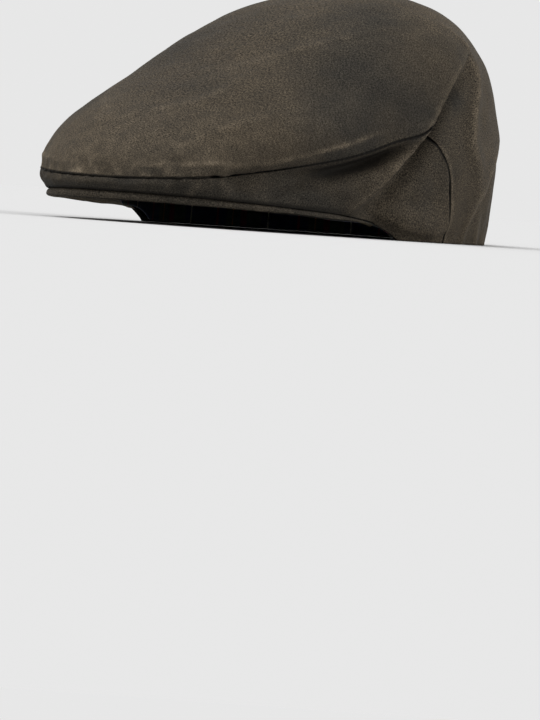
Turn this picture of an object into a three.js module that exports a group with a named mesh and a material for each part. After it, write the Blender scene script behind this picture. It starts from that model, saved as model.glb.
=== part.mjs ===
// A flat cap of waxed cotton: a one-piece top, a side band, a stiff covered peak, and a tartan lining with
// its sweatband. Millimetres, with the peak towards -Y, the wearer's left at +X, and the rim on z = 0.

import * as THREE from 'three';

const { cos, sin, abs, sign, min, max, exp, PI } = Math;
const DEGREE = PI / 180;

// The rim round the head opening, an egg shape that rests flat at the sides and back and lifts at the brow.
const RIM = { halfWidth: 83.2, halfLength: 101.4, frontLift: 25.6, liftPower: 0.75, flatFrom: 76 * DEGREE };

// The angle on the rim, from the front, where each back seam comes down to it.
const SEAM_END = 94 * DEGREE;

// The peak: how far it stands out, the angle of its roots, how near to them it reaches, the height of its
// front edge and how the edge rises to it, how full its outline is, how far it bows up, the gap under the
// side band, and how thick it is at the front and at the tips.
const PEAK = {
  reach: 45.4,
  rootAngle: 68 * DEGREE,
  tipTurn: 0.93,
  frontHeight: 14.2,
  risePower: 0.44,
  roundness: 0.89,
  bow: 3.0,
  clearance: 0.9,
  thickness: 3.8,
  tipThickness: 1.8,
};

// Cloth walls, and the gap kept between neighbours.
const WALL = 1.6;
const LINING_WALL = 1.0;
const GAP = 0.35;

// The point inside the crown that wall thickness and folds are measured towards.
const CORE = new THREE.Vector3(0, -15, 28);

// The top panel as sections across the head, from the front edge over the crown towards the back rim.
// spineY and spineZ are on the centre line. seamX, seamY and seamZ are on the side seam. full is the
// roundness of the section between them, where 2 is an ellipse and more is squarer.
const SECTIONS = [
  { at: 'front edge', spineY: -147.7, spineZ: 20.2, seamX: 54.5, seamY: -119.4, seamZ: 24.2, full: 2.0 },
  { at: 'brow', spineY: -142.0, spineZ: 33.2, seamX: 70.2, seamY: -89.7, seamZ: 30.4, full: 2.1 },
  { at: 'fore', spineY: -118.5, spineZ: 52.0, seamX: 80.2, seamY: -60.0, seamZ: 37.5, full: 2.3 },
  { at: 'rise', spineY: -73.0, spineZ: 76.6, seamX: 84.4, seamY: -32.7, seamZ: 47.3, full: 2.3 },
  { at: 'crown', spineY: -22.6, spineZ: 104.0, seamX: 85.8, seamY: -18.0, seamZ: 56.5, full: 2.3 },
  { at: 'top', spineY: 29.4, spineZ: 119.0, seamX: 87.2, seamY: -12.0, seamZ: 61.5, full: 2.4 },
  { at: 'shoulder', spineY: 77.3, spineZ: 100.7, seamX: 88.0, seamY: -12.5, seamZ: 50.0, full: 2.3 },
  { at: 'back', spineY: 98.2, spineZ: 65.8, seamX: 88.8, seamY: 0.0, seamZ: 35.5, full: 2.05 },
  { at: 'nape', spineY: 104.0, spineZ: 30.3, seamX: 86.4, seamY: 6.2, seamZ: 17.4, full: 1.9 },
];
const APEX_SECTION = 5;

// The folds worn into the wearer's left side, each along a path of points from its upper to its lower end.
// lift is how far the ridge stands out, or in where it is below 0, and drop how far the cloth behind it is
// tucked in. ahead and edge are the ridge's width before and behind the path, tuck the width of the drop.
const FOLDS = [
  {
    at: 'long fold over the ear', lift: 3.4, drop: 6.5, ahead: 16, edge: 4.5, tuck: 11,
    path: [[80, 19, 93], [86, -1, 70], [86, -16, 50], [84, -38, 29], [80, -52, 19]],
  },
  {
    at: 'back corner', lift: 2.8, drop: 0, ahead: 7, edge: 8, tuck: 8,
    path: [[75, 25, 98], [81, 23, 80], [84, 24, 62], [86, 21, 44], [84, 31, 30]],
  },
  {
    at: 'nape fold', lift: 1.6, drop: 2.4, ahead: 9, edge: 5, tuck: 9,
    path: [[64, 72, 52], [74, 56, 44], [80, 41, 28], [82, 32, 15], [81, 28, 5]],
  },
  {
    at: 'hollow under the seam', lift: -3.6, drop: 0, ahead: 4.5, edge: 7, tuck: 7,
    path: [[75, -80, 24], [80, -63, 30], [83, -46, 37], [85, -30, 45]],
  },
  {
    at: 'dent above the peak', lift: -1.3, drop: 0, ahead: 5, edge: 5, tuck: 5,
    path: [[60, -112, 19], [68, -100, 20], [76, -79, 24]],
  },
  {
    at: 'lip over the rim', lift: 2.2, drop: 0, ahead: 5, edge: 3.5, tuck: 5,
    path: [[80, -34, 12], [84, -22, 7], [85, -10, 5], [85, 2, 5]],
  },
];

// The wearer's right side has the same folds, softer.
const RIGHT_SIDE = 0.6;

// The side band's bulge between its seams, and how soon it takes up the curve of the back seam.
const SIDE = { bulge: 2.2, backPower: 5 };

// The lining dome as sections from the front of its lower edge to the back. angle is where a section's ends
// stand on the rim, and spineY and spineZ are its highest point.
const LINING_SECTIONS = [
  { at: 'brow', angle: 54, spineY: -86, spineZ: 62, full: 2.2 },
  { at: 'fore', angle: 68, spineY: -64, spineZ: 71, full: 2.2 },
  { at: 'rise', angle: 82, spineY: -28, spineZ: 89, full: 2.3 },
  { at: 'top', angle: 97, spineY: 14, spineZ: 103, full: 2.4 },
  { at: 'shoulder', angle: 112, spineY: 54, spineZ: 99, full: 2.3 },
  { at: 'back', angle: 125, spineY: 79, spineZ: 80, full: 2.2 },
  { at: 'nape', angle: 136, spineY: 90, spineZ: 54, full: 2.1 },
];
const LINING = { inset: 3.4, edgeHeight: 27.7, frontAngle: 40, backAngle: 145 };

// The sweatband stands inside the rim. At the front it hangs a little below the peak.
const BAND = { inset: 3.8, height: 27, rise: 0.8, frontDrop: 8.0, dropFrom: 74 * DEGREE, dropTo: 50 * DEGREE };

// How finely each surface is cut.
const GRID = {
  top: { across: 40, along: 35 },
  side: { along: 80, down: 8 },
  peak: { along: 34, across: 6 },
  lining: { across: 20, along: 17 },
  band: { round: 48, up: 2 },
};

// A point on the rim, by its angle from the front towards the wearer's left, and how far inside it.
function rimPoint(angle, inset = 0) {
  const flat = cos(RIM.flatFrom);
  const share = max(0, (cos(angle) - flat) / (1 - flat));
  const lift = RIM.frontLift * share ** RIM.liftPower;
  return new THREE.Vector3(
    (RIM.halfWidth - inset) * sin(angle),
    -(RIM.halfLength - inset) * cos(angle),
    lift,
  );
}

// A point on the peak's outer edge. turn goes from -1 at the right root over 0 at the front to 1.
function peakEdge(turn) {
  const root = rimPoint(PEAK.rootAngle);
  const angle = (turn * PI) / 2;
  const frontY = -(RIM.halfLength + PEAK.reach);
  const across = sign(turn) * abs(sin(angle)) ** PEAK.roundness;
  const forward = abs(cos(angle)) ** PEAK.roundness;
  const raised = abs(cos(angle)) ** PEAK.risePower;
  return new THREE.Vector3(
    root.x * across,
    root.y + (frontY - root.y) * forward,
    root.z + (PEAK.frontHeight - root.z) * raised,
  );
}

// A point on the arc of one section, from -1 at its right end over the spine to 1 at its left end.
function arcPoint(across, spineY, spineZ, end, full) {
  const angle = (across * PI) / 2;
  const power = 2 / full;
  const outward = sign(across) * abs(sin(angle)) ** power;
  const slide = 1 - abs(cos(angle)) ** power;
  return new THREE.Vector3(
    end.x * outward,
    spineY + (end.y - spineY) * slide,
    spineZ + (end.z - spineZ) * slide,
  );
}

// A point on a surface that runs smoothly through numbered sections, each a function of across.
function throughSections(sections, across, along) {
  const last = sections.length - 1;
  const section = (index) => {
    if (index < 0) {
      return section(0).multiplyScalar(2).sub(section(1));
    }
    if (index > last) {
      return section(last).multiplyScalar(2).sub(section(last - 1));
    }
    return sections[index](across);
  };
  const place = along * last;
  const index = min(Math.floor(place), last - 1);
  const t = place - index;
  const near = [-1, 0, 1, 2].map((step) => section(index + step));
  const smooth = (axis) => {
    const [a, b, c, d] = near.map((point) => point[axis]);
    const bend = (2 * a - 5 * b + 4 * c - d) * t ** 2 + (3 * (b - c) + d - a) * t ** 3;
    return b + 0.5 * ((c - a) * t + bend);
  };
  return new THREE.Vector3(smooth('x'), smooth('y'), smooth('z'));
}

// The top panel's sections, and the rim behind the seams as the last of them.
const topSections = SECTIONS.map(
  (row) => (across) => {
    const seam = new THREE.Vector3(row.seamX, row.seamY, row.seamZ);
    return arcPoint(across, row.spineY, row.spineZ, seam, row.full);
  },
);
topSections.push((across) => rimPoint(PI - across * (PI - SEAM_END)));

// A point on the top panel. along goes from 0 at the front edge to 1 at the back rim.
function topPoint(across, along) {
  return throughSections(topSections, across, along);
}

// A curve through points at even steps of a function, on which a share of the length can be looked up.
function measured(curvePoint, steps) {
  const points = Array.from({ length: steps + 1 }, (_, i) => curvePoint(i / steps));
  return new THREE.CatmullRomCurve3(points, false, 'centripetal');
}

// The left half of the front seam, from the centre front along the top panel's edge to over the ear.
const apexAlong = APEX_SECTION / SECTIONS.length;
const frontCorner = 0.34;
const frontSeam = measured((share) => {
  if (share < frontCorner) {
    return topPoint(share / frontCorner, 0);
  }
  return topPoint(1, ((share - frontCorner) / (1 - frontCorner)) * apexAlong);
}, 60);

// The left back seam, from over the ear down to the rim.
const backSeam = measured((share) => topPoint(1, apexAlong + share * (1 - apexAlong)), 24);

// The side band's lower edge, along the peak's edge to its root and then along the rim.
const peakRoot = 0.72;
const lowerEdge = measured((share) => {
  if (share < peakRoot) {
    return peakEdge(share / peakRoot);
  }
  const beyond = (share - peakRoot) / (1 - peakRoot);
  return rimPoint(PEAK.rootAngle + beyond * (SEAM_END - PEAK.rootAngle));
}, 60);

// A point on the side band. along goes from -1 at the right back seam over the front to 1 at the left one,
// down from 0 at the upper seam to 1 at the lower edge.
function sidePoint(along, down) {
  const share = abs(along);
  const point = frontSeam.getPointAt(share).lerp(lowerEdge.getPointAt(share), down);
  const straight = frontSeam.getPointAt(1).lerp(lowerEdge.getPointAt(1), down);
  const back = share ** SIDE.backPower;
  point.addScaledVector(backSeam.getPointAt(down).sub(straight), back);
  const outward = point.clone().sub(CORE).setZ(0).normalize();
  point.addScaledVector(outward, SIDE.bulge * sin(PI * down) * (1 - back));
  return along < 0 ? point.setX(-point.x) : point;
}

// The direction out of the crown at a point.
function outwardAt(point) {
  return point.clone().sub(CORE).normalize();
}

// Each fold's path as closely spaced points, each with the direction along the path.
const FOLD_STEPS = 24;
const foldPaths = FOLDS.map((fold) => {
  const curve = new THREE.CatmullRomCurve3(fold.path.map((xyz) => new THREE.Vector3(...xyz)));
  return Array.from({ length: FOLD_STEPS + 1 }, (_, i) => {
    const share = i / FOLD_STEPS;
    return { share, point: curve.getPointAt(share), along: curve.getTangentAt(share) };
  });
});

// How far one fold moves a point of the left side outwards.
function foldHeight(fold, path, point) {
  const near = path.reduce((best, step) => {
    const distance = step.point.distanceToSquared(point);
    return distance < best.distance ? { distance, step } : best;
  }, { distance: Infinity, step: path[0] }).step;
  const aside = near.along.clone().cross(outwardAt(near.point)).normalize();
  const away = point.clone().sub(near.point);
  const ahead = away.dot(aside);
  const past = away.dot(near.along);
  const ends = sin(PI * (0.08 + 0.84 * near.share)) ** 0.6 * exp(-((past / 12) ** 2));
  if (ahead > 0) {
    return fold.lift * exp(-((ahead / fold.ahead) ** 2)) * ends;
  }
  const behind = (ahead / fold.tuck) ** 2;
  return (fold.lift * exp(-((ahead / fold.edge) ** 2)) - fold.drop * behind * exp(1 - behind)) * ends;
}

// A point moved out or in by the folds near it. They die out towards a panel's lower edge, where down is 1.
function folded(point, down) {
  const left = point.clone().setX(abs(point.x));
  const strength = (point.x < 0 ? RIGHT_SIDE : 1) * (1 - down ** 12);
  const height = FOLDS.reduce((sum, fold, i) => sum + foldHeight(fold, foldPaths[i], left), 0);
  return point.addScaledVector(outwardAt(point), height * strength);
}

// A closed body between two grids of points, outer(i, j) and inner(i, j), with i up to columns and j up to
// rows. Where round is true, the grid closes on itself along i.
function shellBody({ columns, rows, outer, inner, round = false }) {
  const width = round ? columns : columns + 1;
  const layerSize = width * (rows + 1);
  const positions = [];
  for (const layer of [outer, inner]) {
    for (let j = 0; j <= rows; j += 1) {
      for (let i = 0; i < width; i += 1) {
        positions.push(...layer(i, j).toArray());
      }
    }
  }
  const at = (i, j, layer) => layer * layerSize + j * width + (i % width);
  const triangles = [];
  const quad = (a, b, c, d) => triangles.push(a, b, c, a, c, d);
  for (let j = 0; j < rows; j += 1) {
    for (let i = 0; i < columns; i += 1) {
      quad(at(i, j, 0), at(i + 1, j, 0), at(i + 1, j + 1, 0), at(i, j + 1, 0));
      quad(at(i, j, 1), at(i, j + 1, 1), at(i + 1, j + 1, 1), at(i + 1, j, 1));
    }
  }
  for (let i = 0; i < columns; i += 1) {
    quad(at(i, 0, 0), at(i, 0, 1), at(i + 1, 0, 1), at(i + 1, 0, 0));
    quad(at(i, rows, 0), at(i + 1, rows, 0), at(i + 1, rows, 1), at(i, rows, 1));
  }
  if (!round) {
    for (let j = 0; j < rows; j += 1) {
      quad(at(0, j, 0), at(0, j + 1, 0), at(0, j + 1, 1), at(0, j, 1));
      quad(at(columns, j, 0), at(columns, j, 1), at(columns, j + 1, 1), at(columns, j + 1, 0));
    }
  }
  const geometry = new THREE.BufferGeometry();
  geometry.setAttribute('position', new THREE.Float32BufferAttribute(positions, 3));
  geometry.setIndex(triangles);
  geometry.computeVertexNormals();
  return geometry;
}

// A cloth panel: its outer face, and its inner face one wall's thickness towards the core. Its lower edge is
// level, so that the rim rests flat.
function panelBody(columns, rows, surface) {
  const outer = (i, j) => folded(surface(i / columns, j / rows), j / rows);
  const inner = (i, j) => {
    const point = outer(i, j);
    const through = outwardAt(point);
    through.z *= 1 - (j / rows) ** 12;
    return point.addScaledVector(through.normalize(), -WALL);
  };
  return shellBody({ columns, rows, outer, inner });
}

// The top panel, trimmed back from its seams by about half the gap.
function topPanel() {
  const { across, along } = GRID.top;
  const trim = 0.002;
  return panelBody(across, along, (x, y) => topPoint((2 * x - 1) * (1 - trim), trim + y * (1 - trim)));
}

// The side band, trimmed back from the top panel and standing just clear of the peak.
function sidePanel() {
  const { along, down } = GRID.side;
  return panelBody(along, down, (x, y) => sidePoint((1 - 2 * x) * 0.998, 0.012 + 0.988 * y));
}

// The peak: a stiff board covered in the same cloth, bowed up between its edges.
function peak() {
  const { along, across } = GRID.peak;
  const place = (i, j) => {
    const turn = ((2 * i) / along - 1) * PEAK.tipTurn;
    const share = j / across;
    const point = rimPoint(turn * PEAK.rootAngle, BAND.inset - GAP).lerp(peakEdge(turn), 1 - share);
    point.z += PEAK.bow * sin(PI * share) * cos((turn * PI) / 2) - PEAK.clearance;
    return { point, turn };
  };
  const outer = (i, j) => place(i, j).point;
  const inner = (i, j) => {
    const { point, turn } = place(i, j);
    point.z -= PEAK.tipThickness + (PEAK.thickness - PEAK.tipThickness) * cos((turn * PI) / 2);
    return point;
  };
  return shellBody({ columns: along, rows: across, outer, inner });
}

// The lining: a dome of tartan cotton that goes up from the sweatband's top edge.
function lining() {
  const { across, along } = GRID.lining;
  const edge = (degrees, inset) => {
    const point = rimPoint(degrees * DEGREE, inset);
    point.z += LINING.edgeHeight;
    return point;
  };
  const sectionsAt = (inset) => [
    (side) => edge(side * LINING.frontAngle, inset),
    ...LINING_SECTIONS.map(
      (row) => (side) => arcPoint(side, row.spineY, row.spineZ, edge(row.angle, inset), row.full),
    ),
    (side) => edge(180 - side * (180 - LINING.backAngle), inset),
  ];
  const outside = sectionsAt(LINING.inset);
  const outer = (i, j) => throughSections(outside, (2 * i) / across - 1, j / along);
  const inner = (i, j) => {
    const point = outer(i, j);
    return point.addScaledVector(outwardAt(point), -LINING_WALL);
  };
  return shellBody({ columns: across, rows: along, outer, inner });
}

// The sweatband: a band of the lining's tartan round the inside of the rim.
function sweatband() {
  const { round, up } = GRID.band;
  const place = (i, j, inset) => {
    const angle = (2 * PI * i) / round;
    const turned = min(angle, 2 * PI - angle);
    const share = min(1, max(0, (BAND.dropFrom - turned) / (BAND.dropFrom - BAND.dropTo)));
    const drop = BAND.frontDrop * share ** 2 * (3 - 2 * share);
    const point = rimPoint(angle, inset);
    const bottom = point.z + BAND.rise - drop;
    const top = point.z + BAND.height;
    return point.setZ(top + (bottom - top) * (j / up));
  };
  return shellBody({
    columns: round,
    rows: up,
    outer: (i, j) => place(-i + round, j, BAND.inset),
    inner: (i, j) => place(-i + round, j, BAND.inset + LINING_WALL),
    round: true,
  });
}

function cloth(color, roughness) {
  return new THREE.MeshStandardMaterial({ color, roughness, metalness: 0 });
}
const waxedCotton = cloth(0x4a443a, 0.6);
const tartanCotton = cloth(0x2b3140, 0.9);

// The cap, with its origin on the resting plane under the middle of its length and width.
const cap = new THREE.Group();
const pieces = [
  { name: 'top_panel', body: topPanel(), material: waxedCotton },
  { name: 'side_panel', body: sidePanel(), material: waxedCotton },
  { name: 'peak', body: peak(), material: waxedCotton },
  { name: 'lining', body: lining(), material: tartanCotton },
  { name: 'sweatband', body: sweatband(), material: tartanCotton },
];
for (const { name, body, material } of pieces) {
  const mesh = new THREE.Mesh(body, material);
  mesh.name = name;
  cap.add(mesh);
}
const middle = new THREE.Box3().setFromObject(cap).getCenter(new THREE.Vector3());
cap.position.set(-middle.x, -middle.y, 0);

export default cap;
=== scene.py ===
# A soft flat cap of dark waxed cotton with a tartan lining, resting on its rim on a plain pale table.
# The sewn shapes are worked out in millimetres round the middle of the rim, with the peak towards -Y and
# the wearer's left at +X. sew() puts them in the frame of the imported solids, in metres.

import math

import bpy
import numpy as np
from mathutils import Euler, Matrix, Vector, kdtree, noise


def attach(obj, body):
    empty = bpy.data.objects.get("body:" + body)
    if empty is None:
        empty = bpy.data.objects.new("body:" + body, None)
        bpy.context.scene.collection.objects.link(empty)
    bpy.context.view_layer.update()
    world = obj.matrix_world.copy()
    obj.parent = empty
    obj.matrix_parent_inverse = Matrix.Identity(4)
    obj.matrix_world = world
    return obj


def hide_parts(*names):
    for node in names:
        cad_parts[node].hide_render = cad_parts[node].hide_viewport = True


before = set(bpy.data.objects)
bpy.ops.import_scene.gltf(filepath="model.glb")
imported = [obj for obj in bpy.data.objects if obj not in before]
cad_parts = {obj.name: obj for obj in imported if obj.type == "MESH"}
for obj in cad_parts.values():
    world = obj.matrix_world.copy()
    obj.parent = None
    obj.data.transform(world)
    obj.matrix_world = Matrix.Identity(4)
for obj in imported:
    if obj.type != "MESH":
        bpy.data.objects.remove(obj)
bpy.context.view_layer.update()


# The top panel.
# One piece of waxed cotton, cut as a long egg and eased over the crown. Its edge is turned in and sewn to
# the side band, from over one ear round the front to over the other. Its back edge is hemmed at the rim.

# The rim round the head is an egg that lies flat on the table at the sides and back and lifts at the brow.
RIM_HALF_WIDTH = 83.2
RIM_HALF_LENGTH = 101.4
RIM_FRONT_LIFT = 25.6
RIM_LIFT_POWER = 0.75
RIM_FLAT_FROM = math.radians(76)

# The angle on the rim, from the front, where each back seam comes down to it.
SEAM_END = math.radians(94)

# From the middle of the rim to the middle of the cap's length and width.
RIM_TO_FRAME = np.array([-0.61, 22.735, 0.0])

# A point inside the crown that folds stand out from.
CORE = np.array([0.0, -15.0, 28.0])

# Sections across the head, from the front edge over the crown to the nape: the point on the centre line, the
# point on the side seam, and how full the arc between them is.
SECTIONS = (
    # spine y, spine z, seam x, seam y, seam z, full
    (-147.7, 20.2, 54.5, -119.4, 24.2, 2.0),
    (-142.0, 33.2, 70.2, -89.7, 30.4, 2.1),
    (-118.5, 52.0, 80.2, -60.0, 37.5, 2.3),
    (-73.0, 76.6, 84.4, -32.7, 47.3, 2.3),
    (-22.6, 104.0, 85.8, -18.0, 56.5, 2.3),
    (29.4, 119.0, 87.2, -12.0, 61.5, 2.4),
    (77.3, 100.7, 88.0, -12.5, 50.0, 2.3),
    (98.2, 65.8, 88.8, 0.0, 35.5, 2.05),
    (104.0, 30.3, 86.4, 6.2, 17.4, 1.9),
)
APEX_ALONG = 5 / 9

# Folds worn into the wearer's left side. lift is how far the ridge stands out, drop how deep the cloth
# behind it is tucked, over how far the ridge leans over the tuck, and the last how pale the ridge is, partly
# worn and partly a painted highlight. ahead, edge, tuck and line are widths: of the ridge's front, of its
# back, of the tuck and of the pale line.
FOLDS = (
    dict(
        at="long fold over the ear", lift=3.6, drop=6.0, over=5.0, rubbed=0.5, ahead=14, edge=1.8, tuck=6,
        path=((81, 15, 89), (87, -1, 79), (89, -11, 69), (89, -19, 57), (88.5, -26, 46), (87, -35, 34),
              (83, -44, 24), (78, -52, 16)),
    ),
    dict(
        at="back corner", lift=3.0, drop=0, over=0.5, rubbed=0.6, ahead=4.5, edge=7, line=2.0,
        path=((77, 25, 95), (79, 28, 84), (82, 25, 73), (85, 20, 61), (87, 19, 48), (86, 26, 38),
              (85, 30, 30)),
    ),
    dict(
        at="nape fold", lift=2.2, drop=3.0, over=1.6, rubbed=0.5, ahead=8, edge=3, tuck=6.5, line=1.9,
        path=((70, 62, 50), (79, 48, 40), (83, 37, 28), (84, 29, 17), (83, 24, 7)),
    ),
    dict(
        at="dent above the peak", lift=-2.4, drop=0, over=0, rubbed=0, ahead=4, edge=5, tuck=5,
        path=((60, -112, 19), (68, -100, 20), (76, -79, 24)),
    ),
    dict(
        at="lip over the rim", lift=4.2, drop=0, over=0, rubbed=0.4, ahead=2.4, edge=8, tuck=5,
        path=((79, -36, 12), (82.5, -25, 7.5), (84.5, -13, 5.5), (85, -3, 4.5), (85.5, 4, 6.5)),
    ),
)

# The wearer's right side has the same folds at this share of their size.
RIGHT_SIDE = 0.6

# A fold or crease dies out over this far past its ends, and reaches no further than this from its path.
FOLD_END = 12
FOLD_REACH = 40

# Shallow creases from wear, with the same columns.
CREASES = (
    dict(
        lift=0.5, rubbed=0.2, ahead=5, edge=3,
        path=((-8, -122, 49), (12, -112, 55), (25, -101, 60), (27, -80, 71)),
    ),
    dict(lift=0.4, rubbed=0.15, ahead=4, edge=3, path=((18, -74, 78), (43, -39, 91), (52, -22, 97))),
    dict(lift=0.5, rubbed=0.2, ahead=4, edge=3, path=((30, -134, 34), (49, -111, 48), (63, -86, 57))),
    dict(lift=0.3, rubbed=0.2, ahead=8, edge=8, path=((-22, -118, 51), (-44, -92, 58), (-56, -60, 70))),
    dict(lift=1.8, rubbed=0.2, ahead=7, edge=6, path=((26, 97, 74), (42, 90, 52), (50, 85, 26))),
    dict(lift=1.5, rubbed=0.15, ahead=6, edge=7, path=((-20, 100, 66), (-34, 95, 44), (-38, 93, 22))),
    dict(lift=-1.4, rubbed=0.0, ahead=7, edge=7, path=((2, 104, 60), (6, 104, 40), (8, 103, 18))),
)

# Cloth darkened by wax and handling, and one patch of painted shade: where, how wide and how strongly.
DARK_PATCHES = (
    # x, y, z, radius, strength
    (66, -46, 75, 30, 1.0),
    (48, -8, 100, 22, 0.6),
    (86, -24, 58, 15, 0.7),
    # Painted shade in the recess behind the long fold's edge, near its top.
    (90, 6, 69, 9, 1.0),
    (76, -68, 52, 16, 0.5),
    (-52, -40, 80, 26, 0.7),
    (8, 58, 110, 26, 0.5),
    (-70, 40, 70, 20, 0.5),
)

# Each panel stops this far short of the seam line, in mm, which leaves the seam as a narrow groove.
SEAM_TRIM = 0.5

# Where the corner between the front seam and the back seam lies, under the long fold.
FOLDED_CORNER = np.array([88.0, -12.0, 61.5])

# The flat panel's half width and length, and the columns and rows of its grid.
TOP_HALF_WIDTH = 125
TOP_LENGTH = 365
TOP_COLUMNS = 250
TOP_ROWS = 236

# The lowest that any cloth lies above the table.
TABLE_GAP = 0.05


def rim_points(angle, inset=0.0):
    """Points on the rim, by the angle from the front towards the wearer's left and how far inside it."""
    flat = math.cos(RIM_FLAT_FROM)
    share = np.clip((np.cos(angle) - flat) / (1 - flat), 0, None)
    across = (RIM_HALF_WIDTH - inset) * np.sin(angle)
    forward = (RIM_HALF_LENGTH - inset) * np.cos(angle)
    return np.stack([across, -forward, RIM_FRONT_LIFT * share**RIM_LIFT_POWER], -1)


def arc_points(across, spine_y, spine_z, end, full):
    """Points on a section's arc, from -1 at its right end over the spine to 1 at its left end."""
    angle = across * math.pi / 2
    outward = np.sign(across) * np.abs(np.sin(angle)) ** (2 / full)
    slide = 1 - np.abs(np.cos(angle)) ** (2 / full)
    return np.stack(
        [end[0] * outward, spine_y + (end[1] - spine_y) * slide, spine_z + (end[2] - spine_z) * slide], -1
    )


def smooth_through(rows, along):
    """Points on smooth curves through rows of points, where along goes from 0 on the first row to 1."""
    last = len(rows) - 1
    rows = np.concatenate([[2 * rows[0] - rows[1]], rows, [2 * rows[last] - rows[last - 1]]])
    rows = np.broadcast_to(rows, (last + 3, len(along), 3))
    index = np.minimum((along * last).astype(int), last - 1)
    t = (along * last - index)[:, None]
    a, b, c, d = (rows[index + step, np.arange(len(along))] for step in range(4))
    return b + 0.5 * ((c - a) * t + (2 * a - 5 * b + 4 * c - d) * t**2 + (3 * (b - c) + d - a) * t**3)


def top_points(across, along):
    """Points on the top panel, across from -1 to 1 and along from the front edge to the back rim."""
    rows = [arc_points(across, y, z, (sx, sy, sz), full) for y, z, sx, sy, sz, full in SECTIONS]
    rows.append(rim_points(math.pi - across * (math.pi - SEAM_END)))
    return smooth_through(np.array(rows), along)


def evenly(curve, shares):
    """The values at which a curve, a function of values from 0 to 1, reaches these shares of its length."""
    fine = np.linspace(0, 1, 2001)
    steps = np.linalg.norm(np.diff(curve(fine), axis=0), axis=1)
    lengths = np.concatenate([[0.0], np.cumsum(steps)])
    return np.interp(shares, lengths / lengths[-1], fine)


def front_seam(value):
    """Points on the left half of the front seam, from the centre front to over the ear."""
    corner = 0.34
    across = np.minimum(value / corner, 1)
    along = np.maximum((value - corner) / (1 - corner), 0) * APEX_ALONG
    return top_points(across, along)


def back_seam(value):
    """Points on the left back seam, from over the ear down to the rim."""
    return top_points(np.ones_like(value), APEX_ALONG + value * (1 - APEX_ALONG))


def seam_lookup():
    """The whole seam: a search tree of its points, the points, the ways they follow each other, how far
    each is from the centre front in mm, and how far the corners over the ears are."""
    shares = np.linspace(0, 1, 500)
    front = front_seam(evenly(front_seam, shares))
    left = np.concatenate([front, back_seam(evenly(back_seam, shares[1:]))])
    steps = np.linalg.norm(np.diff(left, axis=0), axis=1)
    lengths = np.concatenate([[0.0], np.cumsum(steps)])
    ways = np.gradient(left, lengths, axis=0)
    line = np.concatenate([left, left * [-1, 1, 1]])
    tree = kdtree.KDTree(len(line))
    for index, point in enumerate(line):
        tree.insert(point, index)
    tree.balance()
    ways = np.concatenate([ways, ways * [-1, 1, 1]])
    return tree, line, ways, np.tile(lengths, 2), lengths[len(front) - 1]


seam_tree, seam_line, seam_ways, seam_lengths, ear_corner = seam_lookup()


def near_seam(points):
    """For each point: how far it is from the seam, how far along the seam that is from the centre front,
    and the seam's own point there."""
    found = [seam_tree.find(point) for point in points]
    index = np.array([row[1] for row in found])
    past = ((points - seam_line[index]) * seam_ways[index]).sum(1)
    away = np.sqrt(np.maximum(np.array([row[2] for row in found]) ** 2 - past**2, 0))
    return away, seam_lengths[index] + past, seam_line[index] + seam_ways[index] * past[:, None]


def ripple(points, size, seed):
    """Smooth noise from about -1 to 1, with bumps of this size in mm."""
    shift = Vector((seed * 7.3, seed * 3.1, seed * 5.7))
    return np.array([noise.noise(Vector(point) / size + shift) for point in points])


def rise(value, low, high):
    """A smooth step from 0 at low to 1 at high."""
    share = np.clip((value - low) / (high - low), 0, 1)
    return share * share * (3 - 2 * share)


def outward_at(points):
    """The directions out of the crown."""
    away = points - CORE
    return away / np.linalg.norm(away, axis=-1, keepdims=True)


def along_fold(path, points):
    """For each point: how far it is ahead of a path, how far past its ends and how far off in all, its
    share of the path, and the direction ahead."""
    path = np.array(path, float)[:, None, :]
    line = smooth_through(path, np.linspace(0, 1, 49))
    tangents = np.gradient(line, axis=0)
    tangents /= np.linalg.norm(tangents, axis=1, keepdims=True)
    best = np.full(len(points), np.inf)
    near = np.zeros_like(points)
    tangent = np.zeros_like(points)
    share = np.zeros(len(points))
    for index in range(48):
        step = line[index + 1] - line[index]
        t = np.clip((points - line[index]) @ step / (step @ step), 0, 1)
        place = line[index] + t[:, None] * step
        distance = ((points - place) ** 2).sum(1)
        closer = distance < best
        best[closer] = distance[closer]
        near[closer] = place[closer]
        blend = (1 - t)[:, None] * tangents[index] + t[:, None] * tangents[index + 1]
        tangent[closer] = blend[closer]
        share[closer] = (index + t[closer]) / 48
    aside = np.cross(tangent, outward_at(near))
    aside /= np.linalg.norm(aside, axis=1, keepdims=True)
    away = points - near
    return (away * aside).sum(1), (away * tangent).sum(1), np.sqrt(best), share, aside


def fold_into(points, fold, strength, moved, rubbed):
    """Moves points by one fold, and adds how pale its ridge is, partly from wear and partly as a painted
    highlight.
    """
    ahead, past, off, share, aside = along_fold(fold["path"], points)
    ends = np.sin(math.pi * (0.08 + 0.84 * share)) ** 0.6 * np.exp(-((past / FOLD_END) ** 2)) * strength
    ends *= 1 - rise(off, 0.7 * FOLD_REACH, FOLD_REACH)
    behind = (ahead / fold.get("tuck", 8)) ** 2
    front = fold["lift"] * np.exp(-((ahead / fold["ahead"]) ** 2))
    back = fold["lift"] * np.exp(-((ahead / fold["edge"]) ** 2))
    back -= fold.get("drop", 0) * behind * np.exp(1 - behind)
    height = np.where(ahead > 0, front, back) * ends
    moved += outward_at(points) * height[:, None]
    lean = fold.get("over", 0) * rise(ahead, -2.6, 0.6) * np.exp(-((np.maximum(ahead, 0) / 8) ** 2))
    lean *= ends * (1 - rise(share, 0.5, 0.72))
    moved -= aside * lean[:, None]
    # The pale line along the ridge is partly wear and partly a painted highlight.
    rubbed += fold["rubbed"] * np.exp(-(((ahead - 0.6) / fold.get("line", 1.8)) ** 2)) * ends


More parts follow.
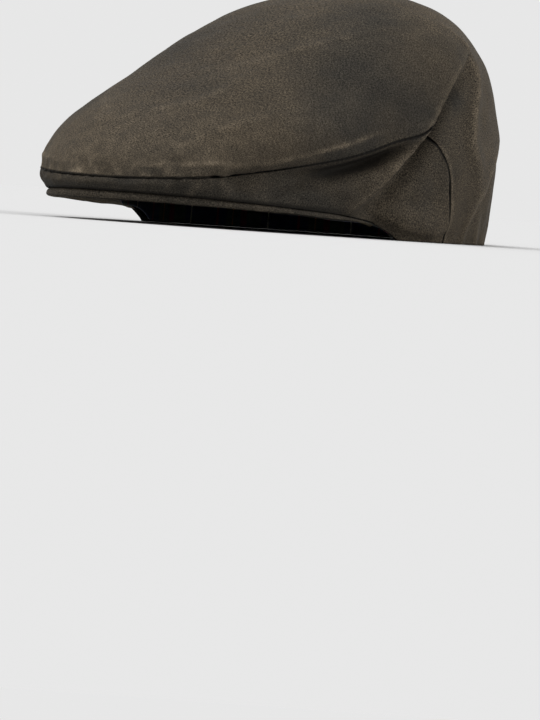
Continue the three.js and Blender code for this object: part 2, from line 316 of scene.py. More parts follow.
def folded(points, strength, folds):
    """How far folds on both sides move points, and how pale each is, partly from wear and partly as painted
    highlight.
    """
    rubbed = np.zeros(len(points))
    left_twin = np.abs(points[:, :1]) * [1, 0, 0] + points * [0, 1, 1]
    side = np.where(points[:, 0] < 0, RIGHT_SIDE, 1.0) * strength
    change = np.zeros_like(points)
    for fold in folds:
        fold_into(left_twin, fold, side, change, rubbed)
    change[:, 0] *= np.where(points[:, 0] < 0, -1, 1)
    return change, rubbed


def worn_in(points, strength):
    """Points moved by every fold and crease, and how pale each is, partly from wear and partly as painted
    highlight.
    """
    change, rubbed = folded(points, strength, FOLDS)
    moved = points + change
    for crease in CREASES:
        fold_into(points, crease, strength, moved, rubbed)
    return moved, rubbed


def grid_normals(points):
    """The normals of a grid of points, out of the side where its columns and rows turn anticlockwise."""
    across = points[:-1, 1:] - points[1:, :-1]
    along = points[1:, 1:] - points[:-1, :-1]
    faces = np.cross(across, along)
    normals = np.zeros_like(points)
    for rows in (slice(None, -1), slice(1, None)):
        for columns in (slice(None, -1), slice(1, None)):
            normals[rows, columns] += faces
    return normals / np.linalg.norm(normals, axis=-1, keepdims=True)


def darkened(points):
    """How far cloth is darkened by its patches: from handling, and one of painted shade."""
    dark = np.zeros(len(points))
    for x, y, z, radius, strength in DARK_PATCHES:
        distance = np.linalg.norm(points - [x, y, z], axis=1)
        dark += strength * np.exp(-((distance / radius) ** 2))
    return dark


def sew(name, points, flat, hem, facts):
    """A cloth panel from a grid of points in mm, with its edge turned in. flat holds the same grid on the
    flat cloth in mm, hem(edge points) gives each step of the turning as (beyond, under), and facts holds
    named numbers for each point. The turned cloth is painted near black, partly grime and partly painted
    shade in the seam's groove."""
    rows, columns = points.shape[0], points.shape[1]
    index = np.arange(rows * columns).reshape(rows, columns)
    faces = np.stack([index[:-1, :-1], index[:-1, 1:], index[1:, 1:], index[1:, :-1]], -1).reshape(-1, 4)
    normals = grid_normals(points).reshape(-1, 3)
    edge = np.concatenate([index[0, :], index[1:, -1], index[-1, -2::-1], index[-2:0:-1, 0]])
    vertices = points.reshape(-1, 3)
    source = np.arange(len(vertices))
    tangent = np.roll(vertices[edge], -1, 0) - np.roll(vertices[edge], 1, 0)
    beyond = np.cross(tangent, normals[edge])
    beyond /= np.linalg.norm(beyond, axis=1, keepdims=True)
    last = edge
    for out, under in hem(vertices[edge]):
        ring = vertices[edge] + beyond * out[:, None] - normals[edge] * under[:, None]
        new = len(vertices) + np.arange(len(edge))
        faces = np.concatenate([faces, np.stack([last, new, np.roll(new, -1), np.roll(last, -1)], -1)])
        vertices = np.concatenate([vertices, ring])
        source = np.concatenate([source, edge])
        last = new
    grime = np.ones(len(vertices))
    grime[: rows * columns] = facts.get("grime", 0)
    vertices = vertices + RIM_TO_FRAME
    vertices[:, 2] = np.maximum(vertices[:, 2], TABLE_GAP)
    mesh = bpy.data.meshes.new(name)
    mesh.from_pydata((vertices / 1000).tolist(), [], faces.tolist())
    mesh.polygons.foreach_set("use_smooth", np.ones(len(faces), bool))
    corners = np.zeros(len(mesh.loops), np.int32)
    mesh.loops.foreach_get("vertex_index", corners)
    layer = mesh.uv_layers.new(name="cloth")
    layer.data.foreach_set("uv", (flat.reshape(-1, 2)[source[corners]] / 1000).astype(np.float32).ravel())
    known = {fact: values[source] for fact, values in facts.items()}
    known["grime"] = grime
    for fact, values in known.items():
        attribute = mesh.attributes.new(fact, "FLOAT", "POINT")
        attribute.data.foreach_set("value", values.astype(np.float32))
    piece = bpy.data.objects.new(name, mesh)
    bpy.context.scene.collection.objects.link(piece)
    return piece


def linear(hex_colour):
    """An sRGB hex colour as linear red, green, blue and alpha."""
    parts = [int(hex_colour[i : i + 2], 16) / 255 for i in (1, 3, 5)]
    return [p / 12.92 if p <= 0.04045 else ((p + 0.055) / 1.055) ** 2.4 for p in parts] + [1.0]


def add_node(tree, kind, settings=None, inputs=None):
    """Adds a node with its settings. An input is a value, or another node's (node, output) pair."""
    node = tree.nodes.new(kind)
    for name, value in (settings or {}).items():
        setattr(node, name, value)
    for name, value in (inputs or {}).items():
        if isinstance(value, tuple) and isinstance(value[0], bpy.types.Node):
            tree.links.new(value[0].outputs[value[1]], node.inputs[name])
        else:
            node.inputs[name].default_value = value
    return node


def waxed_cotton(name, cloth, wax_and_shade, rubbed):
    """Waxed cotton canvas: a tight plain weave soaked in wax, matt with a faint sheen, blotched dark where
    the wax is thick and rubbed pale on its creases. Its dark marks also hold painted shade, and its pale
    marks are partly painted highlights. The three colours are the cloth, thick wax with painted shade, and
    wear with painted highlight."""
    material = bpy.data.materials.new(name)
    material.use_nodes = True
    tree = material.node_tree
    shader = tree.nodes["Principled BSDF"]
    shader.inputs["IOR"].default_value = 1.45
    shader.inputs["Specular IOR Level"].default_value = 0.08
    shader.inputs["Sheen Weight"].default_value = 0.01
    shader.inputs["Sheen Roughness"].default_value = 0.5
    place = add_node(tree, "ShaderNodeTexCoord")
    wear_and_highlight_attribute = add_node(tree, "ShaderNodeAttribute", {"attribute_name": "rubbed"})
    dark = add_node(tree, "ShaderNodeAttribute", {"attribute_name": "dark"})

    # Blotches 45 mm across, mottling of 7 mm and a grain of 0.9 mm, which is coarser than the real one so
    # that it shows.
    blotches = add_node(
        tree, "ShaderNodeTexNoise", None,
        {"Vector": (place, "Object"), "Scale": 1 / 0.045, "Detail": 3.0, "Roughness": 0.55},
    )
    mottling = add_node(
        tree, "ShaderNodeTexNoise", None,
        {"Vector": (place, "Object"), "Scale": 1 / 0.007, "Detail": 4.0, "Roughness": 0.65},
    )
    grain = add_node(
        tree, "ShaderNodeTexNoise", None,
        {"Vector": (place, "Object"), "Scale": 1 / 0.0009, "Detail": 2.0, "Roughness": 0.6},
    )

    # Slubs, which are short thick lengths of thread 0.3 mm wide and 1.1 mm long, in the warp and the weft.
    slubs = []
    for wide, long in ((0.0003, 0.0011), (0.0011, 0.0003)):
        stretched = add_node(
            tree, "ShaderNodeVectorMath", {"operation": "MULTIPLY"},
            {0: (place, "UV"), 1: (1 / wide, 1 / long, 1)},
        )
        slubs.append(add_node(
            tree, "ShaderNodeTexNoise", None,
            {"Vector": (stretched, 0), "Scale": 1.0, "Detail": 1.0, "Roughness": 0.5},
        ))
    slub_sum = add_node(
        tree, "ShaderNodeMath", {"operation": "ADD"}, {0: (slubs[0], "Fac"), 1: (slubs[1], "Fac")}
    )

    # The weave's threads are drawn 0.9 mm apart, about twice as coarse as the real ones.
    thread = add_node(
        tree, "ShaderNodeVectorMath", {"operation": "SCALE"},
        {0: (place, "UV"), "Scale": math.pi / 0.0009},
    )
    split = add_node(tree, "ShaderNodeSeparateXYZ", None, {0: (thread, "Vector")})
    warp = add_node(tree, "ShaderNodeMath", {"operation": "SINE"}, {0: (split, "X")})
    weft = add_node(tree, "ShaderNodeMath", {"operation": "SINE"}, {0: (split, "Y")})
    weave = add_node(tree, "ShaderNodeMath", {"operation": "MULTIPLY"}, {0: (warp, 0), 1: (weft, 0)})

    # Thick wax where the blotches and the dark patches are. The dark attribute also holds painted shade, on
    # the front strip and in the recess behind the long fold, which takes the same colour.
    blotch = add_node(
        tree, "ShaderNodeMapRange", None,
        {"Value": (blotches, "Fac"), "From Min": 0.42, "From Max": 0.7, "To Min": 0.0, "To Max": 0.5},
    )
    wax_handling_and_shade = add_node(
        tree, "ShaderNodeMath", {"operation": "ADD", "use_clamp": True}, {0: (blotch, 0), 1: (dark, "Fac")}
    )
    wax_and_shade_mix = add_node(
        tree, "ShaderNodeMix", {"data_type": "RGBA"},
        {"Factor": (wax_handling_and_shade, 0), 6: linear(cloth), 7: linear(wax_and_shade)},
    )

    # Rubbed pale on creases, partly wear and partly painted highlight, broken up by the mottling.
    broken = add_node(
        tree, "ShaderNodeMapRange", None,
        {"Value": (mottling, "Fac"), "From Min": 0.35, "From Max": 0.65, "To Min": 0.45, "To Max": 1.05},
    )
    wear_and_highlight_share = add_node(
        tree, "ShaderNodeMath", {"operation": "MULTIPLY", "use_clamp": True},
        {0: (wear_and_highlight_attribute, "Fac"), 1: (broken, 0)},
    )
    worn_and_highlit_colour = add_node(
        tree, "ShaderNodeMix", {"data_type": "RGBA"},
        {"Factor": (wear_and_highlight_share, 0), 6: (wax_and_shade_mix, 2), 7: linear(rubbed)},
    )
    speckle = add_node(
        tree, "ShaderNodeMapRange", None,
        {"Value": (slub_sum, 0), "From Min": 0.8, "From Max": 1.2, "To Min": 0.1, "To Max": 1.9},
    )
    fine = add_node(
        tree, "ShaderNodeMapRange", None,
        {"Value": (grain, "Fac"), "From Min": 0.32, "From Max": 0.68, "To Min": 0.75, "To Max": 1.25},
    )
    speckled = add_node(tree, "ShaderNodeMath", {"operation": "MULTIPLY"}, {0: (speckle, 0), 1: (fine, 0)})
    mottle = add_node(
        tree, "ShaderNodeMapRange", None,
        {"Value": (mottling, "Fac"), "From Min": 0.3, "From Max": 0.7, "To Min": 0.82, "To Max": 1.18},
    )
    shade = add_node(tree, "ShaderNodeMath", {"operation": "MULTIPLY"}, {0: (speckled, 0), 1: (mottle, 0)})
    grainy_cloth = add_node(
        tree, "ShaderNodeVectorMath", {"operation": "SCALE"}, {0: (worn_and_highlit_colour, 2), "Scale": (shade, 0)}
    )

    # The cloth turned into the seams, and 0.5 mm beside them, is painted near black: partly wax and dust,
    # partly painted shade in the seam's groove. The same colour is painted shade in the hollow under the
    # seam and where the front strip turns under.
    turned = add_node(tree, "ShaderNodeAttribute", {"attribute_name": "grime"})
    away = add_node(tree, "ShaderNodeAttribute", {"attribute_name": "seam_away"})
    place_on_seam = add_node(tree, "ShaderNodeAttribute", {"attribute_name": "seam_place"})
    beside = add_node(
        tree, "ShaderNodeMapRange", {"interpolation_type": "SMOOTHSTEP"},
        {"Value": (away, "Fac"), "From Min": 0.4, "From Max": 0.95, "To Min": 0.9, "To Max": 0.0},
    )
    grime_and_shade_share = add_node(
        tree, "ShaderNodeMath", {"operation": "MAXIMUM"}, {0: (turned, "Fac"), 1: (beside, 0)}
    )
    colour = add_node(
        tree, "ShaderNodeMix", {"data_type": "RGBA"},
        {"Factor": (grime_and_shade_share, 0), 6: (grainy_cloth, "Vector"), 7: linear("#0f0d0a")},
    )
    tree.links.new(colour.outputs[2], shader.inputs["Base Color"])
    rough = add_node(
        tree, "ShaderNodeMapRange", None,
        {"Value": (mottling, "Fac"), "From Min": 0.3, "From Max": 0.7, "To Min": 0.66, "To Max": 0.82},
    )
    tree.links.new(rough.outputs[0], shader.inputs["Roughness"])

    # The weave stands 0.1 mm high, and the mottling makes slight dents.
    dents = add_node(
        tree, "ShaderNodeBump", None,
        {"Height": (mottling, "Fac"), "Distance": 0.0008, "Strength": 0.5},
    )
    grainy = add_node(
        tree, "ShaderNodeBump", None,
        {"Height": (slub_sum, 0), "Distance": 0.00022, "Strength": 0.6, "Normal": (dents, 0)},
    )
    woven = add_node(
        tree, "ShaderNodeBump", None,
        {"Height": (weave, 0), "Distance": 0.0001, "Strength": 0.2, "Normal": (grainy, 0)},
    )

    # Each stitch, 2.8 mm long, draws the cloth in a little beside the seam.
    turns = add_node(
        tree, "ShaderNodeMath", {"operation": "MULTIPLY"}, {0: (place_on_seam, "Fac"), 1: 2 * math.pi / 2.8}
    )
    stitches = add_node(tree, "ShaderNodeMath", {"operation": "SINE"}, {0: (turns, 0)})
    close = add_node(
        tree, "ShaderNodeMapRange", {"interpolation_type": "SMOOTHSTEP"},
        {"Value": (away, "Fac"), "From Min": 0.0, "From Max": 2.0, "To Min": 1.0, "To Max": 0.0},
    )
    drawn_in = add_node(
        tree, "ShaderNodeMath", {"operation": "MULTIPLY"}, {0: (stitches, 0), 1: (close, 0)}
    )
    stitched = add_node(
        tree, "ShaderNodeBump", None,
        {"Height": (drawn_in, 0), "Distance": 0.0001, "Strength": 0.7, "Normal": (woven, 0)},
    )
    tree.links.new(stitched.outputs[0], shader.inputs["Normal"])
    return material


def crown_arc(share):
    """Points on the arc over the crown, from the right ear to the left."""
    return top_points(2 * share - 1, np.full(len(share), 4 / 9))


def centre_line(share):
    """Points on the top's centre line, from the front edge to the back rim."""
    return top_points(np.zeros(len(share)), share)


def top_panel():
    """The top in one piece, with its swells, puckers and gathers."""
    across = 2 * evenly(crown_arc, np.linspace(0, 1, TOP_COLUMNS + 1)) - 1
    along = evenly(centre_line, np.linspace(0, 1, TOP_ROWS + 1))
    trim = SEAM_TRIM / TOP_LENGTH
    u, v = np.meshgrid(across * (1 - SEAM_TRIM / TOP_HALF_WIDTH), trim + along * (1 - trim))
    flat = top_points(u.ravel(), v.ravel())
    away, place, seam = near_seam(flat)
    points, rubbed = worn_in(flat, 1 - v.ravel() ** 12)
    shape = u.shape + (3,)
    normals = grid_normals(points.reshape(shape)).reshape(-1, 3)

    # Soft swells over the crown, that die out at the seam.
    free = rise(away, 2, 22)
    height = (0.7 * ripple(flat, 34, 1) + 0.35 * ripple(flat, 13, 2)) * free

    # The seam allowance, pressed up under the top, makes a band with a rubbed crease along its edge.
    band = rise(place, 12, 30) * (1 - rise(place, 125, 170)) * (0.75 + 0.5 * ripple(seam, 11, 3))
    line = 6.2 + 0.8 * ripple(seam, 15, 4)
    height += 0.45 * band * rise(away, 0.6, 1.8) * (1 - rise(away, line - 0.6, line + 1.6))
    height += 0.25 * band * np.exp(-(((away - line) / 1.0) ** 2))
    rubbed += 0.6 * np.clip(band, 0, 1) * np.exp(-(((away - line - 0.2) / 1.0) ** 2))
    dark = darkened(flat) + 0.6 * np.clip(band, 0, 1) * (1 - rise(away, line - 1.2, line))

    # Puckers where the seam draws the cloth in, most of all at the front.
    pucker = 0.2 + 1.4 * (1 - rise(place, 40, 95))
    drawn = ripple(seam + away[:, None] * [0.9, 0, 0], 4.2, 5)
    height += pucker * drawn * np.exp(-away / 6)
    rubbed += pucker * np.clip(drawn, 0, 1) * np.exp(-away / 6)

    # The turned edge shows as a pale line beside the back seams.
    rubbed += 0.5 * rise(place, ear_corner, ear_corner + 12) * np.exp(-(((away - 1.7) / 0.8) ** 2))

    # Gathers where the back edge is eased into the rim.
    low = 1 - rise(flat[:, 2], 4, 34)
    behind = rise(flat[:, 1], 8, 30)
    gathers = ripple(flat * [1, 1, 0.15], 7, 6)
    height += 1.8 * low * behind * gathers
    rubbed += 0.5 * low * behind * np.clip(gathers, 0, 1)

    # The front of the top is the palest, partly worn and partly a painted highlight where it faces the
    # light, and the rest is worn in faint patches.
    rubbed += 0.28 * rise(-flat[:, 1], 95, 146) + 0.14 * np.clip(ripple(flat * [1, 0.5, 1], 16, 7), 0, 1)
    points = points + normals * height[:, None]
    cloth = np.stack([u * TOP_HALF_WIDTH, v * TOP_LENGTH], -1)
    return sew(
        "top_cloth", points.reshape(shape), cloth, seam_hem,
        {"rubbed": rubbed, "dark": dark, "seam_away": away, "seam_place": place},
    )


def seam_hem(edge):
    """The turning of a panel's edge: rounded down at a seam, less so at the corners that the long folds
    cover, and turned right under at the rim."""
    at_rim = 1 - rise(edge[:, 2], 0.5, 2.5)
    from_corner = np.linalg.norm(edge * np.where(edge[:, :1] < 0, [-1, 1, 1], 1) - FOLDED_CORNER, axis=1)
    size = 0.15 + 0.85 * rise(from_corner, 5, 13)
    steps = ((0.25, 0.15, 0.3, 0.2), (0.4, 0.55, 0.6, 0.9), (0.35, 1.1, 0.6, 2.2), (0.0, 1.8, 0.2, 3.6))
    return [
        (size * (seam + (rim - seam) * at_rim), size * (deep + (turned - deep) * at_rim))
        for seam, deep, rim, turned in steps
    ]


outer_cloth = waxed_cotton("waxed_cotton_canvas", "#3d362c", "#2b2823", "#62584a")
top_cloth = top_panel()
top_cloth.data.materials.append(outer_cloth)
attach(top_cloth, "root")
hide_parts("top_panel")


# The side band.
# A U of the same waxed cotton under the top: a narrow rolled strip across the front that widens into a
# crescent over each ear. Its upper edge is sewn to the top, and its lower edge to the peak and the rim.

# The peak's outline, which the band's lower edge follows: how far it stands out in front of the rim, the
# angle of its roots, its front edge's height, how the edge rises to it, and how full it is.
PEAK_REACH = 45.9
PEAK_ROOT = math.radians(68)
PEAK_FRONT_HEIGHT = 14.2
PEAK_RISE_POWER = 0.44
PEAK_ROUNDNESS = 0.89

# How far round the lower edge the peak reaches, how far the band bulges, and how soon its ends take up the
# curve of the back seams.
PEAK_SHARE = 0.72
SIDE_BULGE = 2.2
SIDE_BACK_POWER = 5

# The deep hollow where the band tucks in under the top's seam, in the columns of the folds.
HOLLOW = dict(
    at="hollow under the seam", lift=-10.5, rubbed=0, ahead=5, edge=4.2,
    path=((74, -86, 27), (77.5, -66, 31.5), (80, -54, 35), (83, -43, 39.5), (86, -31, 47)),
)

# The flat band's half length, its width at the centre front and how much wider its ends are, the length of
# half the front seam, and the columns and rows of the band's grid.
SIDE_HALF_LENGTH = 262
SIDE_FRONT_WIDTH = 14
SIDE_END_GAIN = 46
FRONT_SEAM_LENGTH = 190
SIDE_COLUMNS = 440
SIDE_ROWS = 54


def peak_edge(turn):
    """Points on the peak's outer edge, from -1 at the right root over 0 at the front to 1."""
    root = rim_points(PEAK_ROOT)
    angle = turn * math.pi / 2
    cosine = np.clip(np.cos(angle), 0, 1)
    across = np.sign(turn) * np.abs(np.sin(angle)) ** PEAK_ROUNDNESS
    forward = cosine**PEAK_ROUNDNESS
    front = -(RIM_HALF_LENGTH + PEAK_REACH)
    height = root[2] + (PEAK_FRONT_HEIGHT - root[2]) * cosine**PEAK_RISE_POWER
    return np.stack([root[0] * across, root[1] + (front - root[1]) * forward, height], -1)


def lower_edge(value):
    """Points on the left half of the band's lower edge, from the centre front."""
    beyond = np.maximum((value - PEAK_SHARE) / (1 - PEAK_SHARE), 0)
    on_peak = peak_edge(np.minimum(value / PEAK_SHARE, 1))
    on_rim = rim_points(PEAK_ROOT + beyond * (SEAM_END - PEAK_ROOT))
    return np.where((value < PEAK_SHARE)[:, None], on_peak, on_rim)


def side_points(along, down):
    """Points on the side band, along from -1 at the right end to 1, and down from the seam to the edge."""
    share = np.abs(along)
    upper = front_seam(evenly(front_seam, share))
    lower = lower_edge(evenly(lower_edge, share))
    points = upper + (lower - upper) * down[:, None]
    end = np.ones(1)
    straight = front_seam(end) + (lower_edge(end) - front_seam(end)) * down[:, None]
    back = share**SIDE_BACK_POWER
    points += (back_seam(evenly(back_seam, down)) - straight) * back[:, None]
    outward = (points - CORE) * [1, 1, 0]
    outward /= np.linalg.norm(outward, axis=1, keepdims=True)
    points += outward * (SIDE_BULGE * np.sin(math.pi * down) * (1 - back))[:, None]
    return points * np.where(along < 0, -1, 1)[:, None] ** [1, 0, 0]


def side_panel():
    """The band in one piece, tucked in under the seam and wrinkled where it turns the front corners."""
    along = np.linspace(1, -1, SIDE_COLUMNS + 1) * (1 - SEAM_TRIM / FRONT_SEAM_LENGTH)
    u, v = np.meshgrid(along, np.linspace(0, 1, SIDE_ROWS + 1))
    top, bottom = (side_points(u[0], np.full(SIDE_COLUMNS + 1, end)) for end in (0.0, 1.0))
    start = SEAM_TRIM / np.linalg.norm(bottom - top, axis=1)
    v = start + (1 - start) * v
    flat = side_points(u.ravel(), v.ravel())
    down = v.ravel()
    away, place, seam = near_seam(flat)
    points, rubbed = worn_in(flat, 1 - down**12)
    tuck, _ = folded(flat, rise(away, 0.2, 3.0), (HOLLOW,))
    points += tuck
    shape = u.shape + (3,)
    normals = grid_normals(points.reshape(shape)).reshape(-1, 3)
    inside = np.sin(math.pi * np.clip(down, 0, 1))
    height = (0.6 * ripple(flat, 26, 11) + 0.85 * ripple(flat * [1, 1, 1.7], 10, 12)) * inside

    # Puckers under the seam, and upright wrinkles where the strip turns round the front corners.
    pucker = 0.15 + 0.5 * (1 - rise(place, 40, 95))
    height += pucker * ripple(seam, 3.6, 5) * np.exp(-away / 5)
    corner = np.exp(-(((place - 52) / 26) ** 2))
    wrinkles = ripple(flat * [1, 1, 0.3], 3.8, 13)
    height += 0.85 * corner * inside * wrinkles
    rubbed += 0.35 * corner * np.clip(wrinkles, 0, 1)
    rubbed += 0.12 * np.clip(ripple(flat, 10, 14), 0, 1)

    # The strip across the front is drawn flatter and painted dark as painted shade, since it faces down,
    # darkest where it turns under. The hollow under the seam and the strip's turned-under edge are painted
    # near black as painted shade.
    strip = 1 - rise(place, 100, 150)
    height -= 0.7 * strip * inside
    dark = darkened(flat) + strip * (0.5 + 0.5 * rise(down, 0.4, 1))
    grime = 0.85 * rise(np.linalg.norm(tuck, axis=1), 2.5, 8.0)
    grime = np.maximum(grime, 0.8 * strip * rise(down, 0.86, 0.98))
    points = points + normals * height[:, None]
    width = SIDE_FRONT_WIDTH + SIDE_END_GAIN * np.abs(u) ** 2
    cloth = np.stack([u * SIDE_HALF_LENGTH, -v * width], -1)
    return sew(
        "side_cloth", points.reshape(shape), cloth, seam_hem,
        {"rubbed": rubbed, "dark": dark, "seam_away": away, "seam_place": place, "grime": grime},
    )


side_cloth = side_panel()
side_cloth.data.materials.append(outer_cloth)
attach(side_cloth, "root")
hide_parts("side_panel")


# The peak.
# A stiff curved board between two pieces of the waxed cotton. The upper cover is drawn over its edge, and
# meets the under cover in a seam along the bottom of the edge.

# How far the peak bows up between rim and edge, how far it lies below the band's edge, how thick it is in
# front and at its roots, how far inside the rim the sweatband lies, and the gap between two pieces.
PEAK_BOW = 3.0
PEAK_CLEARANCE = 0.9
PEAK_THICKNESS = 3.8
PEAK_TIP_THICKNESS = 1.8
BAND_INSET = 3.8
PIECE_GAP = 0.35

# How far round towards its roots the covers reach, how far below its top the under cover lies as a share of
# its thickness, and half the length of its edge, its depth and its thickness on the flat cloth.
PEAK_TURN = 0.995
UNDER_LEVEL = 1.04
COVER_HALF_LENGTH = 130
COVER_DEPTH = 60
COVER_EDGE = 4
PEAK_COLUMNS = 260


def peak_level(turn, share, under):
    """Points of the peak, share from 0 at its edge to 1 at the rim, and under from 0 on top to 1 below."""
    inner = rim_points(turn * PEAK_ROOT, BAND_INSET - PIECE_GAP)
    points = peak_edge(turn) + (inner - peak_edge(turn)) * share[:, None]
    middle = np.cos(turn * math.pi / 2)
    points[:, 2] += PEAK_BOW * np.sin(math.pi * share) * middle - PEAK_CLEARANCE
    thickness = PEAK_TIP_THICKNESS + (PEAK_THICKNESS - PEAK_TIP_THICKNESS) * middle
    thickness *= 1 - 0.7 * rise(np.abs(turn), 0.86, 1.0)
    points[:, 2] -= thickness * under
    return points


def peak_piece(name, profile, colour_facts):
    """A cover of the peak, from a profile of (share, under) pairs swept round its edge."""
    turns = np.linspace(-PEAK_TURN, PEAK_TURN, PEAK_COLUMNS + 1)
    shares = np.array([row[0] for row in profile])
    unders = np.array([row[1] for row in profile])
    turn, share = np.meshgrid(turns, shares)
    _, under = np.meshgrid(turns, unders)
    points = peak_level(turn.ravel(), share.ravel(), under.ravel())
    shape = turn.shape + (3,)
    normals = grid_normals(points.reshape(shape)).reshape(-1, 3)
    points = points + normals * (0.25 * ripple(points, 14, 21) + 0.12 * ripple(points, 5, 22))[:, None]
    steps = np.hypot(np.diff(shares) * COVER_DEPTH, np.diff(unders) * COVER_EDGE)
    lengths = np.concatenate([[0.0], np.cumsum(steps)])
    cloth = np.stack([turn * COVER_HALF_LENGTH, np.broadcast_to(lengths[:, None], turn.shape)], -1)
    facts = {fact: np.full(turn.size, value) for fact, value in colour_facts.items()}
    facts["rubbed"] = facts["rubbed"] * (0.6 + 0.8 * np.exp(-share.ravel() * 14))
    return sew(name, points.reshape(shape), cloth, small_hem, facts)


def small_hem(edge):
    """A narrow rounded edge."""
    even = np.ones(len(edge))
    return [(0.12 * even, 0.1 * even), (0.16 * even, 0.35 * even), (0.05 * even, 0.7 * even)]


def bend_round(count):
    """The rounded edge of the peak as (share, under) pairs, from the top round to the seam below."""
    rows = []
    for step in range(count + 1):
        angle = math.pi * (0.5 - 0.9 * step / count)
        rows.append((0.045 - 0.045 * math.cos(angle) ** 0.9, 0.5 - 0.5 * math.sin(angle)))
    return rows


upper_profile = [(share, 0.0) for share in np.linspace(1, 0.05, 24)] + bend_round(10)
peak_cover = peak_piece("peak_cover", upper_profile[::-1], {"rubbed": 0.08, "dark": 0.6, "seam_away": 9})
peak_cover.data.materials.append(outer_cloth)
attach(peak_cover, "root")
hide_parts("peak")

under_cloth = waxed_cotton("waxed_cotton_under_the_peak", "#4f4738", "#403a2f", "#6a5f4b")
under_profile = [(share, UNDER_LEVEL) for share in np.linspace(0.03, 1, 26)]
peak_under = peak_piece("peak_under", under_profile[::-1], {"rubbed": 0.3, "dark": 0.0, "seam_away": 9})
peak_under.data.materials.append(under_cloth)
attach(peak_under, "root")


# The sweatband.
# A band of the lining's tartan cotton, doubled over and sewn inside the rim. In front it hangs a little
# below the peak's root.

# The band's height, how far its lower edge lies above the rim's, how far it hangs down in front and between
# which angles, and how thick it is.
BAND_HEIGHT = 27
BAND_RISE = 0.8
BAND_FRONT_DROP = 8.0
BAND_DROP_FROM = math.radians(74)
BAND_DROP_TO = math.radians(50)
BAND_THICKNESS = 1.0

# The rim's mean radius, which gives the length round the flat cloth, and the columns of the band's grid.
RIM_MEAN_RADIUS = 92.5
BAND_COLUMNS = 380

# Stripes of a plain tartan over 46 mm: where each starts as a share of that, and its colour.
TARTAN_REPEAT = 0.046
TARTAN_STRIPES = (
    # start, colour
    (0.00, "#2a3248"),
    (0.27, "#c4c0b0"),
    (0.29, "#2a3248"),
    (0.36, "#4a4e38"),
    (0.54, "#772a2f"),
    (0.62, "#4a4e38"),
    (0.71, "#a8743b"),
    (0.725, "#4a4e38"),
    (0.80, "#2a3248"),
    (0.90, "#772a2f"),
    (0.93, "#2a3248"),
)


def tartan_cotton(name):
    """Light brushed cotton in a tartan twill: matt and soft, with coloured threads crossing both ways."""
    material = bpy.data.materials.new(name)
    material.use_nodes = True
    tree = material.node_tree
    shader = tree.nodes["Principled BSDF"]
    shader.inputs["IOR"].default_value = 1.5
    shader.inputs["Specular IOR Level"].default_value = 0.2
    shader.inputs["Roughness"].default_value = 0.92
    shader.inputs["Sheen Weight"].default_value = 0.25
    shader.inputs["Sheen Roughness"].default_value = 0.4
    place = add_node(tree, "ShaderNodeTexCoord")
    repeats = add_node(
        tree, "ShaderNodeVectorMath", {"operation": "SCALE"}, {0: (place, "UV"), "Scale": 1 / TARTAN_REPEAT}
    )
    split = add_node(tree, "ShaderNodeSeparateXYZ", None, {0: (repeats, "Vector")})
    threads = []
    for axis in ("X", "Y"):
        share = add_node(tree, "ShaderNodeMath", {"operation": "FRACT"}, {0: (split, axis)})
        ramp = add_node(tree, "ShaderNodeValToRGB", None, {"Fac": (share, 0)})
        ramp.color_ramp.interpolation = "CONSTANT"
        for index, (start, colour) in enumerate(TARTAN_STRIPES):
            stop = ramp.color_ramp.elements[0] if index == 0 else ramp.color_ramp.elements.new(start)
            stop.position = start
            stop.color = linear(colour)
        ramp.color_ramp.elements.remove(ramp.color_ramp.elements[-1])
        threads.append(ramp)

    # Twill lines 0.9 mm apart, drawn coarser than the threads so that they show.
    slope = add_node(tree, "ShaderNodeMath", {"operation": "ADD"}, {0: (split, "X"), 1: (split, "Y")})
    lines = add_node(
        tree, "ShaderNodeMath", {"operation": "MULTIPLY"},
        {0: (slope, 0), 1: 2 * math.pi * TARTAN_REPEAT / 0.0009},
    )
    twill = add_node(tree, "ShaderNodeMath", {"operation": "SINE"}, {0: (lines, 0)})
    over = add_node(
        tree, "ShaderNodeMapRange", None,
        {"Value": (twill, 0), "From Min": -0.4, "From Max": 0.4, "To Min": 0.3, "To Max": 0.7},
    )
    crossed = add_node(
        tree, "ShaderNodeMix", {"data_type": "RGBA"},
        {"Factor": (over, 0), 6: (threads[0], "Color"), 7: (threads[1], "Color")},
    )
    fuzz = add_node(
        tree, "ShaderNodeTexNoise", None,
        {"Vector": (place, "Object"), "Scale": 1 / 0.0012, "Detail": 2.0, "Roughness": 0.6},
    )
    shade = add_node(
        tree, "ShaderNodeMapRange", None,
        {"Value": (fuzz, "Fac"), "From Min": 0.3, "From Max": 0.7, "To Min": 0.8, "To Max": 1.2},
    )
    colour = add_node(
        tree, "ShaderNodeVectorMath", {"operation": "SCALE"}, {0: (crossed, 2), "Scale": (shade, 0)}
    )
    tree.links.new(colour.outputs["Vector"], shader.inputs["Base Color"])
    soft = add_node(
        tree, "ShaderNodeBump", None, {"Height": (fuzz, "Fac"), "Distance": 0.0003, "Strength": 0.5}
    )
    woven = add_node(
        tree, "ShaderNodeBump", None,
        {"Height": (twill, 0), "Distance": 0.0001, "Strength": 0.5, "Normal": (soft, 0)},
    )
    tree.links.new(woven.outputs[0], shader.inputs["Normal"])
    return material


def band_points(angle, up, inset):
    """Points on the sweatband, up from 0 at its lower edge to 1 at its upper edge."""
    turned = np.minimum(angle, 2 * math.pi - angle)
    share = np.clip((BAND_DROP_FROM - turned) / (BAND_DROP_FROM - BAND_DROP_TO), 0, 1)
    drop = BAND_FRONT_DROP * share**2 * (3 - 2 * share)
    points = rim_points(angle)
    bottom = points[:, 2] + BAND_RISE - drop
    top = points[:, 2] + BAND_HEIGHT
    flat = rim_points(angle, inset)
    flat[:, 2] = bottom + (top - bottom) * up
    return flat


